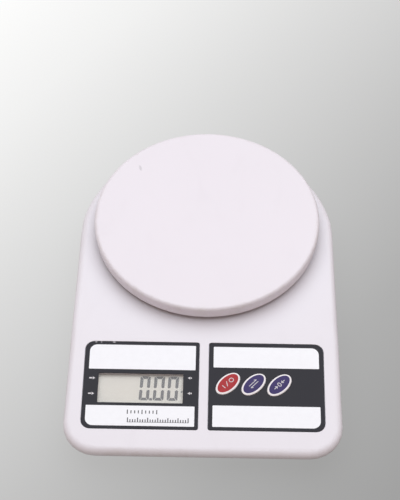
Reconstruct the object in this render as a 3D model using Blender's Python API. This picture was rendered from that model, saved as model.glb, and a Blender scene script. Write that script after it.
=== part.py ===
"""Digital gram scale: a round weighing platter on a load cell, in a two-part moulded casing.

The object stands on its feet at z = 0, centred on the origin, and its display faces -Y.
Sizes below are millimetres; add_solid, add_wire and place turn them into metres.
The front of the deck slopes down from a soft crease. Pieces that follow it are drawn in the
deck frame: x across, y along the slope (0 at the crease, negative forwards), z off the deck.
Pieces under the platter are drawn about its axis, with z still measured from the ground.
"""

import math

import bmesh
import bpy
from mathutils import Matrix, Vector

MM = 0.001
GAP = 0.3
THROUGH = 1.0  # how far a cutter passes the face that it opens

# Casing plan: a rear arc, gently tapered sides, rounded front corners.
PLATTER_Y = 43.5
REAR_Y = 36.5
REAR_RADIUS = 80.8
SHOULDER_Y = 51.5
SIDE_END_Y = 42.5
SIDE_HALF_WIDTH = 80.0
SIDE_TAPER = 0.0145
FRONT_Y = -117.3
CORNER_RADIUS = 20.0

# Casing heights.
DECK_Z = 26.0
WALL = 2.3
LIP_RADIUS = 4.0
LIP_UNDERCUT = math.radians(42)
PARTING_Z = 16.0
FLOOR_Z = 2.5
FLOOR_TOP = 4.7
TAPER_FOOT_Z = 5.0
CREASE_Y = -34.5
CREASE_HALF = 6.0
SLOPE = 0.05
TILT = math.atan(SLOPE)

# Lower casing section, as (inset from the plan, height), outside and then inside.
LOWER_OUTER = ((15.5, FLOOR_Z), (14.3, 3.0), (13.5, 4.4), (4.3, PARTING_Z - GAP))
LOWER_RIM = ((7.6, PARTING_Z - GAP), (7.6, 17.7), (9.0, 17.7), (9.0, 14.2))
LOWER_INNER = ((15.4, 6.2), (16.8, FLOOR_TOP))

# Platter and its support.
PLATTER_RADIUS = 71.0
PLATTER_TOP = 38.0
PLATTER_EDGE = 2.2
PLATTER_UNDERSIDE = 36.0
RIM_BOTTOM = 29.8
RIM_THICK = 1.8
RIM_DRAFT = 0.5
RING_RADII = (33.4, 35.0)
RING_BOTTOM = 33.0
PLATTER_RIBS = 8
PLATTER_RIB_HALF = 0.6
PLATTER_RIB_BOTTOM = 33.6
SOCKET_RADIUS = 6.0
SOCKET_BORE = 3.6
SOCKET_TOP = 35.2
POST_OFFSET = 33.0
POST_RADIUS = 4.5
POST_HOLE_RADIUS = 6.0
POST_TIP_RADIUS = 3.3
POST_TIP_CHAMFER = 0.6
POST_SHOULDER_Z = 31.2
POST_TOP_Z = 34.7
SPIDER_Z = 18.1
SPIDER_TOP = 21.1
ARM_HALF_WIDTH = 7.0
ARM_REACH = 53.0
ARM_RIB_REACH = 50.0
ARM_RIB_HEIGHT = 1.6
TONGUE_HALF_WIDTH = 8.0
TONGUE_REACH = 39.0
TRAVEL = 0.25
STOP_RADIUS = 3.0
STOP_TOP = SPIDER_Z - TRAVEL - 0.2

# Load cell, along Y under the platter's centre, and the pedestal under its fixed end.
CELL_SIZE = Vector((12.0, 70.0, 8.0))
CELL_Z = 8.3
EYE_OFFSET = 7.0
EYE_RADIUS = 3.0
EYE_SLOT_HALF = 1.0
SEAL_HALF = Vector((5.2, 11.0))
SEAL_CLEAR = 0.2
SEAL_THICK = (0.6, 1.2)
PLATE_THICK = 1.2
PLATE_LENGTH = 18.0
PEDESTAL_HALF_X = 9.0
PEDESTAL_REACH = (-36.0, -15.0)
CELL_SCREW_INSET = (4.5, 13.5)
CELL_SCREW_BORE = 2.4
CELL_HEAD_POCKET = 4.2
CELL_HEAD_SEAT = 5.0
FREE_HEAD_SEAT = 19.9
FIXED_SCREW = ((3.2, 2.9), (3.6, 3.2), (3.6, 4.7), (2.0, 4.7), (2.0, 15.5))
FREE_SCREW = ((3.2, 22.2), (3.6, 21.9), (3.6, 20.2), (2.0, 20.2), (2.0, 9.5))

# Front panels, in the deck frame.
PANEL_INNER_X = 2.97
PANEL_OUTER_X = 71.56
PANEL_TOP = -8.7
PANEL_BOTTOM = -67.7
PANEL_OUTER_RADIUS = 5.5
PANEL_INNER_RADIUS = 1.3
PANEL_THICK = 0.6
RECESS = PANEL_THICK + GAP
WINDOW_LO = Vector((-62.7, -50.4))
WINDOW_HI = Vector((-12.2, -30.5))
WINDOW_MARGIN = 0.5
LENS_MARGIN = 0.2
LENS_THICK = 1.0

# Keys, in the deck frame. The crown is (share of the key's plan, height).
KEY_X = (14.4, 29.7, 45.0)
KEY_Y = -36.6
KEY_STEP_Y = -0.25
KEY_A = 8.9
KEY_B = 5.3
KEY_TILT = math.radians(46.6)
KEY_NAMES = ("power", "mode", "tare")
KEY_CROWN = ((1.0, 0.2), (0.955, 0.5), (0.87, 0.68), (0.6, 0.82), (0.25, 0.88))
KEY_HOLE_GAP = 0.5
FLANGE_WIDTH = 1.2
FLANGE_THICK = 1.0
FLANGE_TOP = -WALL - GAP
PLUNGER_RADIUS = 1.6
PLUNGER_BOTTOM = -4.2
STEM_RADIUS = 1.5
STEM_SPAN = (-6.6, -4.5)
SWITCH_HALF = 3.0
SWITCH_TOP = -5.2
SWITCH_BORE = 1.9
SWITCH_BORE_FLOOR = -7.2

# Board stack, in the deck frame.
BOARD_TOP = -8.0
BOARD_THICK = 1.6
BOARD_LO = Vector((-68.0, -57.2))
BOARD_HI = Vector((57.0, -24.0))
BOARD_SCREWS = ((-2.0, -27.5), (-2.0, -53.5), (52.5, -52.0))
BOARD_BOSS_RADIUS = 2.6
BOARD_BOSS_TOP = -1.3
BOARD_BOSS_BORE = 1.3
BOARD_BORE_TOP = -3.6
BOARD_SCREW_BORE = 1.5
BOARD_SCREW = ((2.1, -1.5), (2.4, -1.2), (2.4, 0.0), (1.0, 0.0), (1.0, 5.7))
LCD_LO = Vector((-65.0, -52.5))
LCD_HI = Vector((-10.0, -28.5))
LCD_TOP = -WALL - GAP
LCD_THICK = 2.1
LCD_FRAME_WIDTH = 1.8
LCD_LEDGE = Vector((2.5, 0.5))
STRIP_LO = Vector((3.5, 1.0))
STRIP_WIDTH = 2.0
BLOB_CENTRE = (-24.0, -40.0)
BLOB = ((7.0, 0.0), (6.6, -0.6), (5.0, -1.2), (2.0, -1.6))

# Battery bay, under the casing's middle, and its door.
BAY_HALF_X = 29.0
BAY_Y = (-40.0, -7.0)
BAY_TOP = 19.4
BAY_ROOF = 1.4
BAY_WALL = 3.2
DOOR_LEDGE = 1.6
DOOR_THICK = 1.8
DOOR_CHAMFERS = (0.3, 0.8)
HINGE_Y = -6.6
HINGE_Z = 3.3
TRUNNION_RADIUS = 0.6
TRUNNION_BORE = 0.95
TRUNNION_LENGTH = 1.1
LATCH_HALF_X = 6.5
LATCH_ROOT = 0.5
LATCH_INNER = 0.6
LATCH_REACH = 2.9
LATCH_LIFT = 0.4
LATCH_TOP = 5.6
LATCH_SLIT = (1.5, 1.9)
LATCH_SLIT_TOP = 4.6
NOTCH_HALF_X = 8.5
NOTCH_REACH = 9.5
NOTCH_TOP = 10.5

# Batteries and contacts. Profiles are (radius, distance from the bay's middle).
BATTERY_Y = (-16.1, -30.9)
BATTERY_Z = 11.9
BATTERY = ((5.5, 23.1), (6.9, 23.1), (7.1, 22.7), (7.1, -25.7), (6.6, -26.1), (2.75, -26.1))
BATTERY_NOSE = ((2.75, -27.2), (2.4, -27.4))
SPRING_WIRE = 0.4
SPRING_RADII = (4.6, 3.2)
SPRING_SPAN = (27.5, 23.8)
SPRING_TURNS = 3
SPRING_STEPS = 30
CONTACT_THICK = 0.5
CONTACT_HALF_Y = 5.0
CONTACT_Z = (7.0, 17.0)
DIMPLE = ((2.2, 0.4), (1.6, 0.9), (0.8, 1.0))
LEAD_SLOT_HALF = (2.2, 2.0)

# Wires: radius, spacing of the points, and the route.
LEAD = (0.7, 3.6)
LEAD_ENDS = ((-46.5, 9.5), (-56.5, 10.2), (-62.0, 11.8), (-63.5, 14.4))
LEAD_X = {"red": -38.0, "black": -34.5}
CABLE = (1.3, 6.5)
CABLE_ROUTE = (
    (-CELL_SIZE.x / 2 - 1.7, PLATTER_Y - 4.0, 12.0),
    (-16.0, 37.5, 11.0),
    (-30.0, 25.5, 8.4),
    (-42.0, 12.5, 7.0),
    (-46.0, -4.5, 6.6),
    (-46.0, -26.5, 6.6),
    (-45.0, -46.5, 7.4),
    (-43.0, -59.5, 9.5),
    (-42.0, -65.5, 13.0),
)

# Fasteners and feet.
CASING_SCREW_XY = ((28.0, 89.5), (60.0, -16.5), (60.0, -96.5))
CASING_SCREW = ((2.7, 3.0), (3.0, 3.3), (3.0, 5.0), (1.5, 5.0), (1.5, 17.0), (0.8, 17.8))
CASING_BOSS_Z = 12.0
LOWER_BOSS_RADIUS = 4.2
HEAD_POCKET = (3.4, 5.3)
SCREW_CLEARANCE = 1.9
UPPER_BOSS_RADIUS = 3.8
UPPER_BOSS_BORE = 1.8
UPPER_BORE_TOP = 18.2
SCREW_SOCKET = (0.5, 1.1)
HEX_RADIUS = 1.6
CROSS_HALF = 0.35
CROSS_SHARE = 0.55
FOOT_XY = {"rear": (44.0, 69.5), "front": (50.0, -86.5)}
FOOT_RADIUS = 7.0
FOOT_HEIGHT = 3.0
FOOT_EDGE = 0.8
FOOT_POCKET_TOP = 3.3

# How finely round things are drawn.
ARC_STEPS = 44
CORNER_STEPS = 6
PLATTER_STEPS = 64
KEY_STEPS = 28
ROUND_STEPS = 20
HOLE_STEPS = 16
BOSS_STEPS = 12
BORE_STEPS = 8
SMOOTH_ANGLE = math.radians(34)

# Finishes: colour, roughness, metallic.
FINISHES = {
    "white_plastic": ((0.81, 0.78, 0.82), 0.42, 0.0),
    "printed_panel": ((0.045, 0.045, 0.05), 0.35, 0.0),
    "clear_lens": ((0.9, 0.92, 0.9), 0.05, 0.0),
    "display_glass": ((0.6, 0.6, 0.56), 0.25, 0.0),
    "red_key": ((0.45, 0.035, 0.04), 0.4, 0.0),
    "violet_key": ((0.05, 0.03, 0.15), 0.4, 0.0),
    "black_rubber": ((0.03, 0.03, 0.03), 0.8, 0.0),
    "circuit_board": ((0.02, 0.16, 0.06), 0.5, 0.0),
    "black_epoxy": ((0.01, 0.01, 0.01), 0.3, 0.0),
    "black_plastic": ((0.02, 0.02, 0.02), 0.5, 0.0),
    "tinned_steel": ((0.6, 0.6, 0.6), 0.35, 1.0),
    "zinc_screw": ((0.55, 0.55, 0.53), 0.35, 1.0),
    "nickel_spring": ((0.7, 0.68, 0.63), 0.25, 1.0),
    "aluminium": ((0.75, 0.75, 0.76), 0.35, 1.0),
    "white_sealant": ((0.8, 0.8, 0.78), 0.6, 0.0),
    "battery_wrap": ((0.12, 0.14, 0.16), 0.35, 0.0),
    "red_wire": ((0.5, 0.03, 0.03), 0.5, 0.0),
    "black_wire": ((0.02, 0.02, 0.02), 0.5, 0.0),
    "grey_wire": ((0.3, 0.3, 0.3), 0.5, 0.0),
}


# Materials, objects and placing


def material(name, colour, roughness, metallic):
    made = bpy.data.materials.new(name)
    made.use_nodes = True
    shader = made.node_tree.nodes["Principled BSDF"]
    shader.inputs["Base Color"].default_value = (*colour, 1.0)
    shader.inputs["Roughness"].default_value = roughness
    shader.inputs["Metallic"].default_value = metallic
    made.diffuse_color = (*colour, 1.0)
    return made


def place(name, location, rotation=(0, 0, 0), parent=None):
    """An empty that pieces are parented to, at a millimetre location."""
    empty = bpy.data.objects.new(name, None)
    bpy.context.scene.collection.objects.link(empty)
    empty.location = Vector(location) * MM
    empty.rotation_euler = rotation
    empty.parent = parent
    return empty


def add_solid(name, shapes, paint=None, parent=None, at=(0, 0, 0)):
    """One object from millimetre shapes; it is a helper where it has no paint."""
    bm = bmesh.new()
    for shape in shapes:
        shape(bm)
    bmesh.ops.recalc_face_normals(bm, faces=bm.faces)
    bmesh.ops.scale(bm, vec=(MM, MM, MM), verts=bm.verts)
    mesh = bpy.data.meshes.new(name)
    bm.to_mesh(mesh)
    bm.free()
    mesh.shade_smooth()
    mesh.set_sharp_from_angle(angle=SMOOTH_ANGLE)
    obj = bpy.data.objects.new(name, mesh)
    bpy.context.scene.collection.objects.link(obj)
    obj.location = Vector(at) * MM
    obj.parent = parent
    if paint:
        mesh.materials.append(paint)
    else:
        obj.hide_render = True
        obj.display_type = "WIRE"
    return obj


def boolean(target, operation, shapes, at=(0, 0, 0)):
    """Cuts, or joins on, shapes drawn under the same parent as the target."""
    add_tool(target, operation, shapes, target.parent, at)


def boolean_in(target, operation, shapes, parent):
    """The same, with the shapes drawn in another frame."""
    add_tool(target, operation, shapes, parent, (0, 0, 0))


def add_tool(target, operation, shapes, parent, at):
    name = f"{target.name}_{operation.lower()}_{len(target.modifiers)}"
    modifier = target.modifiers.new(operation.title(), "BOOLEAN")
    modifier.operation = operation
    modifier.object = add_solid(name, shapes, parent=parent, at=at)


def add_wire(name, points, radius, paint, sides=2):
    """A wire of round section through millimetre points, with filled ends."""
    curve = bpy.data.curves.new(name, "CURVE")
    curve.dimensions = "3D"
    curve.bevel_depth = radius * MM
    curve.bevel_resolution = sides
    curve.use_fill_caps = True
    spline = curve.splines.new("POLY")
    spline.points.add(len(points) - 1)
    for point, target in zip(points, spline.points):
        target.co = (*(Vector(point) * MM), 1.0)
    curve.materials.append(paint)
    obj = bpy.data.objects.new(name, curve)
    bpy.context.scene.collection.objects.link(obj)


# Shapes: each returns a function that draws it into a bmesh


def loft(rings):
    """Skins equal rings in order and caps both ends."""

    def draw(bm):
        rows = [[bm.verts.new(point) for point in ring] for ring in rings]
        for low, high in zip(rows, rows[1:]):
            for i in range(len(low)):
                j = (i + 1) % len(low)
                bm.faces.new((low[i], low[j], high[j], high[i]))
        bm.faces.new(rows[0][::-1])
        bm.faces.new(rows[-1])

    return draw


def prism(outline, low, high):
    return loft([[(x, y, z) for x, y in outline] for z in (low, high)])


def across(outline, half_x):
    """An outline in (y, z), drawn from -half_x to half_x."""
    return loft([[(x, y, z) for y, z in outline] for x in (-half_x, half_x)])


def box(low, high):
    return prism(rectangle(low, high), low[2], high[2])


def rectangle(low, high):
    return [(low[0], low[1]), (high[0], low[1]), (high[0], high[1]), (low[0], high[1])]


def circle(centre, radius, steps):
    turns = [2 * math.pi * i / steps for i in range(steps)]
    return [(centre[0] + radius * math.cos(t), centre[1] + radius * math.sin(t)) for t in turns]


def turned(profile, centre=(0, 0), steps=ROUND_STEPS):
    """A (radius, height) profile spun about an upright line."""
    return loft([[(x, y, z) for x, y in circle(centre, radius, steps)] for radius, z in profile])


def turned_along_x(profile, centre, steps=ROUND_STEPS):
    """A (radius, x) profile spun about a line along X through a (y, z) centre."""
    return loft([[(x, y, z) for y, z in circle(centre, radius, steps)] for radius, x in profile])


def cylinder(centre, radius, low, high, steps=ROUND_STEPS):
    return turned([(radius, low), (radius, high)], centre, steps)


def rounded_rectangle(low, high, radii, steps=5):
    """Counter-clockwise outline; radii for the corners --, +-, ++ and -+."""
    signs = ((1, 1), (-1, 1), (-1, -1), (1, -1))
    outline = []
    for k, ((x, y), (sx, sy), radius) in enumerate(zip(rectangle(low, high), signs, radii)):
        centre = (x + sx * radius, y + sy * radius)
        for i in range(steps + 1):
            angle = math.pi * (1 + k / 2) + 0.5 * math.pi * i / steps
            point = (centre[0] + radius * math.cos(angle), centre[1] + radius * math.sin(angle))
            outline.append(point)
    return outline


def ellipse(a, b, shift=(0, 0)):
    """Outline of a key: its long axis is turned by KEY_TILT."""
    turn = Matrix.Rotation(KEY_TILT, 2)
    outline = []
    for i in range(KEY_STEPS):
        angle = 2 * math.pi * i / KEY_STEPS
        outline.append(tuple(turn @ Vector((a * math.cos(angle), b * math.sin(angle))) + Vector(shift)))
    return outline


def bar(turn_degrees, low, high, half_width, bottom, top):
    """An upright rib along a radius, from low to high."""
    turn = Matrix.Rotation(math.radians(turn_degrees), 2)
    outline = rectangle((low, -half_width), (high, half_width))
    return prism([tuple(turn @ Vector(point)) for point in outline], bottom, top)


# Casing geometry


def half_width(y):
    return SIDE_HALF_WIDTH - SIDE_TAPER * (y - PLATTER_Y)


def casing_plan():
    """Counter-clockwise outline of the casing at its widest."""
    start = math.asin((SHOULDER_Y - REAR_Y) / REAR_RADIUS)
    points = []
    for i in range(ARC_STEPS + 1):
        angle = start + (math.pi - 2 * start) * i / ARC_STEPS
        points.append((REAR_RADIUS * math.cos(angle), REAR_Y + REAR_RADIUS * math.sin(angle)))
    side = half_width(SIDE_END_Y)
    corner_y = FRONT_Y + CORNER_RADIUS
    centre_x = half_width(corner_y) - CORNER_RADIUS
    points.append((-side, SIDE_END_Y))
    for sign, first in ((-1, math.pi), (1, 1.5 * math.pi)):
        for i in range(CORNER_STEPS + 1):
            angle = first + 0.5 * math.pi * i / CORNER_STEPS
            x = sign * centre_x + CORNER_RADIUS * math.cos(angle)
            points.append((x, corner_y + CORNER_RADIUS * math.sin(angle)))
    points.append((side, SIDE_END_Y))
    return points


def inset(outline, distance):
    """Moves each corner of a closed outline inwards, keeping the walls parallel."""
    moved = []
    for i, point in enumerate(outline):
        here = Vector(point)
        before = (here - Vector(outline[i - 1])).normalized()
        after = (Vector(outline[(i + 1) % len(outline)]) - here).normalized()
        along = (before + after).normalized()
        inward = Vector((-along.y, along.x))
        moved.append(tuple(here + inward * (distance / max(0.5, along.dot(before)))))
    return moved


def deck_drop(y):
    """How far the deck lies below DECK_Z at this y: flat, a soft crease, then the slope."""
    ahead = CREASE_Y - y
    if ahead <= -CREASE_HALF:
        return 0.0
    if ahead < CREASE_HALF:
        return SLOPE * (ahead + CREASE_HALF) ** 2 / (4 * CREASE_HALF)
    return SLOPE * ahead


def casing_shell(profile):
    """Lofts (inset, height) pairs round the plan, then lowers the front to the deck's slope."""
    plan = casing_plan()
    rings = [[(x, y, z) for x, y in inset(plan, distance)] for distance, z in profile]

    def draw(bm):
        loft(rings)(bm)
        for y in (CREASE_Y - CREASE_HALF, CREASE_Y, CREASE_Y + CREASE_HALF):
            parts = bm.verts[:] + bm.edges[:] + bm.faces[:]
            bmesh.ops.bisect_plane(bm, geom=parts, plane_co=(0, y, 0), plane_no=(0, 1, 0))
        for vertex in bm.verts:
            share = (vertex.co.z - TAPER_FOOT_Z) / (PARTING_Z - TAPER_FOOT_Z)
            vertex.co.z -= deck_drop(vertex.co.y) * min(1.0, max(0.0, share))

    return draw


def arc(centre, radius, first, last, steps):
    """(inset, height) points on a circle, its angle 0 pointing outwards and 90 degrees up."""
    found = []
    for i in range(steps + 1):
        angle = first + (last - first) * i / steps
        point = (centre[0] - radius * math.cos(angle), centre[1] + radius * math.sin(angle))
        found.append(point)
    return found


def post_places():
    """The four posts under the platter, about its axis."""
    return [(sx * POST_OFFSET, sy * POST_OFFSET) for sx in (-1, 1) for sy in (-1, 1)]


def casing_screws():
    return [(side * x, y) for x, y in CASING_SCREW_XY for side in (-1, 1)]


def key_place(index):
    return (KEY_X[index], KEY_Y + index * KEY_STEP_Y)


def cell_screws(end):
    """The two screws at the fixed end (-1) or the free end (1), about the platter's axis."""
    return [(0.0, end * (CELL_SIZE.y / 2 - from_end)) for from_end in CELL_SCREW_INSET]


def cell_bores(end, low, high):
    return [cylinder(at, CELL_SCREW_BORE, low, high, HOLE_STEPS) for at in cell_screws(end)]


def panel_outline(side, grow=0.0):
    """A front panel: large corners outwards, small ones at the middle of the casing."""
    x_low, x_high = sorted((side * PANEL_INNER_X, side * PANEL_OUTER_X))
    large = PANEL_OUTER_RADIUS + grow
    small = PANEL_INNER_RADIUS + grow
    radii = (large, small, small, large) if side < 0 else (small, large, large, small)
    low = (x_low - grow, PANEL_BOTTOM - grow)
    return rounded_rectangle(low, (x_high + grow, PANEL_TOP + grow), radii)


# The casing


def make_upper_casing(paint, deck, axis):
    centre = (LIP_RADIUS, DECK_Z - LIP_RADIUS)
    outer = arc(centre, LIP_RADIUS, math.pi / 2, 0, 4)
    outer += arc(centre, LIP_RADIUS, 0, -LIP_UNDERCUT, 2)[1:]
    run = (outer[-1][1] - PARTING_Z) * math.tan(LIP_UNDERCUT)
    outer.append((outer[-1][0] + run, PARTING_Z))
    inner = [(outer[-1][0] + WALL / math.cos(LIP_UNDERCUT), PARTING_Z)]
    inner += arc(centre, LIP_RADIUS - WALL, -LIP_UNDERCUT, math.pi / 2, 2)
    casing = add_solid("upper_casing", [casing_shell(outer + inner)], paint)

    bosses = []
    bores = []
    for at in casing_screws():
        top = DECK_Z - deck_drop(at[1]) - WALL / 2
        bosses.append(cylinder(at, UPPER_BOSS_RADIUS, CASING_BOSS_Z + GAP, top, BOSS_STEPS))
        bores.append(cylinder(at, UPPER_BOSS_BORE, CASING_BOSS_Z, UPPER_BORE_TOP, BORE_STEPS))
    boolean(casing, "UNION", bosses)
    boolean(casing, "DIFFERENCE", bores)
    span = (DECK_Z - WALL - THROUGH, DECK_Z + THROUGH)
    holes = [cylinder(at, POST_HOLE_RADIUS, *span) for at in post_places()]
    boolean_in(casing, "DIFFERENCE", holes, axis)

    low = BOARD_TOP + GAP
    bosses = [cylinder(at, BOARD_BOSS_RADIUS, low, BOARD_BOSS_TOP, BOSS_STEPS) for at in BOARD_SCREWS]
    boolean_in(casing, "UNION", bosses, deck)
    recesses = [prism(panel_outline(side, GAP), -RECESS, THROUGH) for side in (-1, 1)]
    boolean_in(casing, "DIFFERENCE", recesses, deck)
    margin = Vector((WINDOW_MARGIN, WINDOW_MARGIN))
    window = rounded_rectangle(WINDOW_LO - margin, WINDOW_HI + margin, (0.6,) * 4, 3)
    cuts = [prism(window, -WALL - THROUGH, THROUGH)]
    for i in range(len(KEY_NAMES)):
        hole = ellipse(KEY_A + KEY_HOLE_GAP, KEY_B + KEY_HOLE_GAP, key_place(i))
        cuts.append(prism(hole, -WALL - THROUGH, THROUGH))
    for at in BOARD_SCREWS:
        cuts.append(cylinder(at, BOARD_BOSS_BORE, BOARD_TOP, BOARD_BORE_TOP, BORE_STEPS))
    boolean_in(casing, "DIFFERENCE", cuts, deck)


def make_lower_casing(paint, axis):
    profile = [*LOWER_OUTER, *LOWER_RIM, *LOWER_INNER]
    casing = add_solid("lower_casing", [casing_shell(profile)], paint)
    sunk = FLOOR_TOP - THROUGH  # where a block starts, inside the floor

    x = BAY_HALF_X + BAY_WALL
    high = (x, BAY_Y[1] + BAY_WALL, BAY_TOP + BAY_ROOF)
    blocks = [box((-x, BAY_Y[0] - BAY_WALL, sunk), high)]
    blocks += [cylinder(at, LOWER_BOSS_RADIUS, sunk, CASING_BOSS_Z, BOSS_STEPS) for at in casing_screws()]
    boolean(casing, "UNION", blocks)
    stops = [cylinder(at, STOP_RADIUS, sunk, STOP_TOP, BOSS_STEPS) for at in post_places()]
    pedestal_top = CELL_Z - 2 * GAP - PLATE_THICK
    low = (-PEDESTAL_HALF_X, PEDESTAL_REACH[0], sunk)
    stops.append(box(low, (PEDESTAL_HALF_X, PEDESTAL_REACH[1], pedestal_top)))
    boolean_in(casing, "UNION", stops, axis)

    below = FLOOR_Z - THROUGH
    feet = [cylinder(at, FOOT_RADIUS + 0.4, below, FOOT_POCKET_TOP) for _, at in feet_places()]
    boolean(casing, "DIFFERENCE", feet)
    radius, seat = HEAD_POCKET
    pocket = [(radius, below), (radius, seat), (SCREW_CLEARANCE, seat)]
    pocket.append((SCREW_CLEARANCE, CASING_BOSS_Z + THROUGH))
    boolean(casing, "DIFFERENCE", [turned(pocket, at, BOSS_STEPS) for at in casing_screws()])
    pocket = [(CELL_HEAD_POCKET, below), (CELL_HEAD_POCKET, CELL_HEAD_SEAT)]
    pocket += [(CELL_SCREW_BORE, CELL_HEAD_SEAT), (CELL_SCREW_BORE, CELL_Z)]
    boolean_in(casing, "DIFFERENCE", [turned(pocket, at, BOSS_STEPS) for at in cell_screws(-1)], axis)

    bay = box((-BAY_HALF_X, BAY_Y[0], below), (BAY_HALF_X, BAY_Y[1], BAY_TOP))
    boolean(casing, "DIFFERENCE", [bay])
    ledge = BAY_HALF_X + DOOR_LEDGE
    high = (ledge, BAY_Y[1] + DOOR_LEDGE, FLOOR_Z + DOOR_THICK + GAP)
    boolean(casing, "DIFFERENCE", [box((-ledge, BAY_Y[0] - DOOR_LEDGE, below), high)])
    low = (-NOTCH_HALF_X, BAY_Y[0] - NOTCH_REACH + BAY_WALL, below)
    boolean(casing, "DIFFERENCE", [box(low, (NOTCH_HALF_X, BAY_Y[0] - THROUGH, NOTCH_TOP))])
    reach = ledge + TRUNNION_LENGTH + GAP
    bore = [(TRUNNION_BORE, -reach), (TRUNNION_BORE, reach)]
    boolean(casing, "DIFFERENCE", [turned_along_x(bore, (HINGE_Y, HINGE_Z), BOSS_STEPS)])
    slots = []
    for y in BATTERY_Y:
        low = (-x - THROUGH, y - LEAD_SLOT_HALF[0], BATTERY_Z - LEAD_SLOT_HALF[1])
        high = (THROUGH - BAY_HALF_X, y + LEAD_SLOT_HALF[0], BATTERY_Z + LEAD_SLOT_HALF[1])
        slots.append(box(low, high))
    boolean(casing, "DIFFERENCE", slots)


def make_door(paint, hinge):
    """Drawn about its hinge: a plate with trunnions and a sprung latch with a slit behind it."""
    x = BAY_HALF_X + DOOR_LEDGE - GAP
    front = BAY_Y[0] - DOOR_LEDGE + GAP - HINGE_Y
    rear = BAY_Y[1] + DOOR_LEDGE - GAP - HINGE_Y
    bottom = FLOOR_Z - HINGE_Z
    top = bottom + DOOR_THICK
    small, large = DOOR_CHAMFERS
    plate = [(front, bottom), (rear - small, bottom), (rear, bottom + small)]
    plate += [(rear, top - large), (rear - large, top), (front, top)]
    door = add_solid("battery_door", [across(plate, x)], paint, hinge)
    foot = bottom + LATCH_LIFT
    step = top - SEAL_CLEAR
    latch = [(front + LATCH_ROOT, foot), (front - LATCH_REACH, foot), (front - LATCH_REACH, LATCH_TOP)]
    latch += [(front - LATCH_INNER, LATCH_TOP), (front - LATCH_INNER, step), (front + LATCH_ROOT, step)]
    boolean(door, "UNION", [across(latch, LATCH_HALF_X)])
    near, far = LATCH_SLIT
    slit = rectangle((front - far, bottom - THROUGH), (front - near, LATCH_SLIT_TOP))
    boolean(door, "DIFFERENCE", [across(slit, LATCH_HALF_X + THROUGH)])
    reach = x + TRUNNION_LENGTH
    trunnions = [(TRUNNION_RADIUS, -reach), (TRUNNION_RADIUS, reach)]
    boolean(door, "UNION", [turned_along_x(trunnions, (0, 0), BOSS_STEPS)])


# The weighing parts


def make_platter(paint, axis):
    """A disc with a turned-down rim, ribs and four sockets."""
    edge = PLATTER_EDGE
    centre = (PLATTER_RADIUS - edge, PLATTER_TOP - edge)
    profile = [(MM, PLATTER_TOP)]
    for i in range(5):
        angle = math.pi / 2 * (1 - i / 4)
        profile.append((centre[0] + edge * math.cos(angle), centre[1] + edge * math.sin(angle)))
    foot = PLATTER_RADIUS - RIM_DRAFT
    inside = foot - RIM_THICK
    profile += [(foot, RIM_BOTTOM), (inside, RIM_BOTTOM)]
    profile += [(inside + 0.2, PLATTER_UNDERSIDE - 1.0), (inside - 0.8, PLATTER_UNDERSIDE)]
    inner, outer = RING_RADII
    profile += [(outer, PLATTER_UNDERSIDE), (outer, RING_BOTTOM), (inner, RING_BOTTOM)]
    profile += [(inner, PLATTER_UNDERSIDE), (MM, PLATTER_UNDERSIDE)]
    platter = add_solid("weighing_platter", [turned(profile, steps=PLATTER_STEPS)], paint, axis)
    places = post_places()
    joined = PLATTER_UNDERSIDE + 0.8
    low = POST_SHOULDER_Z + GAP
    boolean(platter, "UNION", [cylinder(at, SOCKET_RADIUS, low, joined) for at in places])
    boolean(platter, "DIFFERENCE", [cylinder(at, SOCKET_BORE, RIM_BOTTOM, SOCKET_TOP) for at in places])
    ribs = []
    for i in range(PLATTER_RIBS):
        turn = 360 / PLATTER_RIBS * (i + 0.5)
        span = (inner + 0.8, foot - 0.9)
        ribs.append(bar(turn, *span, PLATTER_RIB_HALF, PLATTER_RIB_BOTTOM, joined))
    boolean(platter, "UNION", ribs)


def make_support(paint, axis):
    """An X of arms, a tongue over the load cell and four posts."""
    root = ARM_HALF_WIDTH * math.sqrt(2)
    outline = []
    for k in range(4):
        angle = math.radians(45 + 90 * k)
        along = Vector((math.cos(angle), math.sin(angle)))
        half = Vector((-along.y, along.x)) * ARM_HALF_WIDTH
        outline.append(tuple(along * ARM_REACH - half))
        outline.append(tuple(along * ARM_REACH + half))
        if k == 0:
            w = TONGUE_HALF_WIDTH
            outline += [(w, w + root), (w, TONGUE_REACH), (-w, TONGUE_REACH), (-w, w + root)]
        else:
            between = angle + math.pi / 4
            outline.append((root * math.cos(between), root * math.sin(between)))
    support = add_solid("platter_support", [prism(outline, SPIDER_Z, SPIDER_TOP)], paint, axis)
    post = [(POST_RADIUS, SPIDER_Z + THROUGH), (POST_RADIUS, POST_SHOULDER_Z)]
    post += [(POST_TIP_RADIUS, POST_SHOULDER_Z), (POST_TIP_RADIUS, POST_TOP_Z - POST_TIP_CHAMFER)]
    post.append((POST_TIP_RADIUS - POST_TIP_CHAMFER, POST_TOP_Z))
    posts = [turned(post, at, HOLE_STEPS) for at in post_places()]
    boolean(support, "UNION", posts)
    for turn in (45, 135):
        rib = bar(turn, -ARM_RIB_REACH, ARM_RIB_REACH, 1.0, SPIDER_TOP - 0.5, SPIDER_TOP + ARM_RIB_HEIGHT)
        boolean(support, "UNION", [rib])
    hole = [(CELL_SCREW_BORE, SPIDER_Z - THROUGH), (CELL_SCREW_BORE, FREE_HEAD_SEAT)]
    top = SPIDER_TOP + ARM_RIB_HEIGHT + THROUGH
    hole += [(CELL_HEAD_POCKET, FREE_HEAD_SEAT), (CELL_HEAD_POCKET, top)]
    boolean(support, "DIFFERENCE", [turned(hole, at, HOLE_STEPS) for at in cell_screws(1)])


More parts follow.
